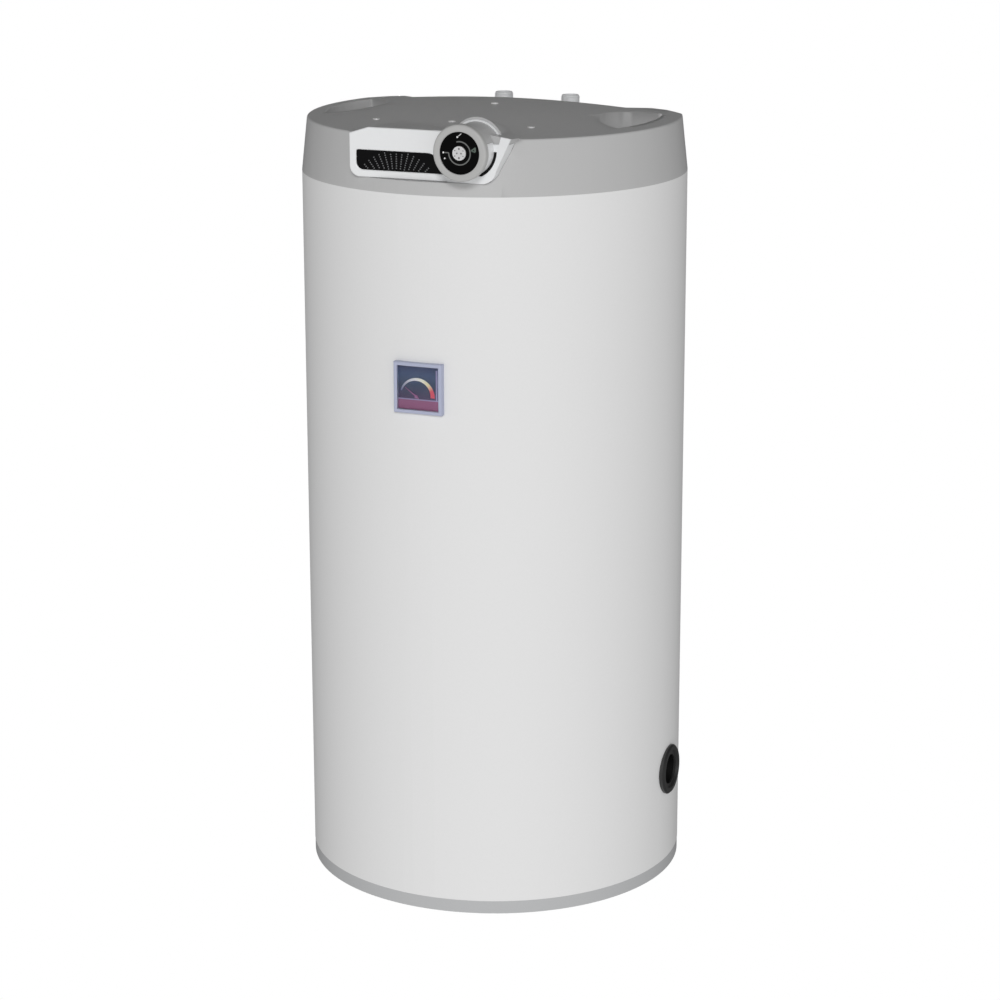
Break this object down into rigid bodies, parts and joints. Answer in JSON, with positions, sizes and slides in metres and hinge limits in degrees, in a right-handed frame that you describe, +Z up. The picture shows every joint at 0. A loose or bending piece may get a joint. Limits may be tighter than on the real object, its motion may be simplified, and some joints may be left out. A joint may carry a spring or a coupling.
{
  "type": "tank water heater",
  "caption": "Floor-standing cylindrical tank water heater with a heating coil, a grey cap with hand grips and rear pipe bay, a control knob and a square thermometer.",
  "frame": {"origin": "centre of the base's underside, on the floor", "axes": "+Z up along the tank's axis, front towards -Y, +X to the right as seen from the front"},
  "size_m": [0.529, 0.5499, 1.0826],
  "materials": {
    "white_painted_steel": "satin powder coat",
    "white_seam": "satin",
    "label_foil": "plain printed foil, blank",
    "grey_cap_plastic": "moulded, fine texture",
    "grey_trim_plastic": "moulded",
    "white_panel_plastic": "moulded, semi gloss",
    "black_gloss_plastic": "gloss",
    "knob_grey_plastic": "moulded, satin",
    "dial_black": "satin black with plain marks",
    "hub_grey": "moulded",
    "black_plastic": "moulded",
    "black_rubber": "moulded",
    "zinc_plated_steel": "zinc plated",
    "tank_enamel": "enamelled and primed",
    "foam": "polyurethane foam",
    "white_tube_plastic": "extruded",
    "brass": "turned",
    "magnesium": "cast",
    "copper": "drawn copper",
    "cream_plastic": "moulded",
    "cable_black": "PVC sheathed",
    "screw_steel": "zinc plated",
    "gauge_frame": "moulded, semi gloss",
    "gauge_face": "printed, no text",
    "clear_lens": "clear",
    "needle_pink": "painted"
  },
  "bodies": {
    "heater": {"outer_jacket": "white_painted_steel", "jacket_seam_strip": "white_seam", "rating_plate": "label_foil", "base_trim_ring": "grey_trim_plastic", "base_plate": "zinc_plated_steel", "support_legs": "tank_enamel", "insulation_foam": "foam", "tank_barrel": "tank_enamel", "tank_top_dome": "tank_enamel", "tank_bottom_dome": "tank_enamel", "heating_coil": "tank_enamel", "coil_flow_pipe": "zinc_plated_steel", "coil_return_pipe": "zinc_plated_steel", "hot_outlet_pipe": "zinc_plated_steel", "cold_inlet_pipe": "zinc_plated_steel", "dip_tube": "white_tube_plastic", "pipe_grommets": "black_rubber", "flange_ring": "tank_enamel", "flange_gasket": "black_rubber", "flange_cover": "zinc_plated_steel", "flange_bolts": "screw_steel", "anode_plug": "brass", "anode_rod": "magnesium", "sensor_well": "copper", "thermostat_sensor": "copper", "thermostat_body": "cream_plastic", "thermostat_bracket": "zinc_plated_steel", "thermostat_nut": "brass", "bracket_screws": "screw_steel", "terminal_block": "cream_plastic", "wiring_loom": "cable_black", "cable_gland": "black_plastic", "gland_nut": "black_plastic", "top_cap": "grey_cap_plastic", "cap_posts": "zinc_plated_steel", "cap_screws": "screw_steel", "control_panel": "white_panel_plastic", "scale_window": "black_gloss_plastic", "hood_trim": "white_panel_plastic", "thermometer_frame": "gauge_frame", "thermometer_face": "gauge_face", "thermometer_lens": "clear_lens", "thermometer_stem": "brass", "thermometer_pocket": "copper", "side_port_socket": "tank_enamel", "side_port_plug": "black_plastic", "side_port_rosette": "black_plastic"},
    "knob": {"knob_body": "knob_grey_plastic", "knob_dial": "dial_black", "knob_hub": "hub_grey", "knob_spindle": "zinc_plated_steel"},
    "needle": {"thermometer_needle": "needle_pink"}
  },
  "joints": [
    {"name": "knob_turn", "type": "hinge", "parent": "heater", "child": "knob", "pos_m": [0.068, -0.28599, 1.044], "axis": [0, 1, 0], "range_deg": [0, 270]},
    {"name": "needle_turn", "type": "hinge", "parent": "heater", "child": "needle", "pos_m": [-0.0025, -0.265, 0.7197], "axis": [0, 1, 0], "range_deg": [-15, 140], "stiffness_Nm_per_rad": 0.002}
  ]
}
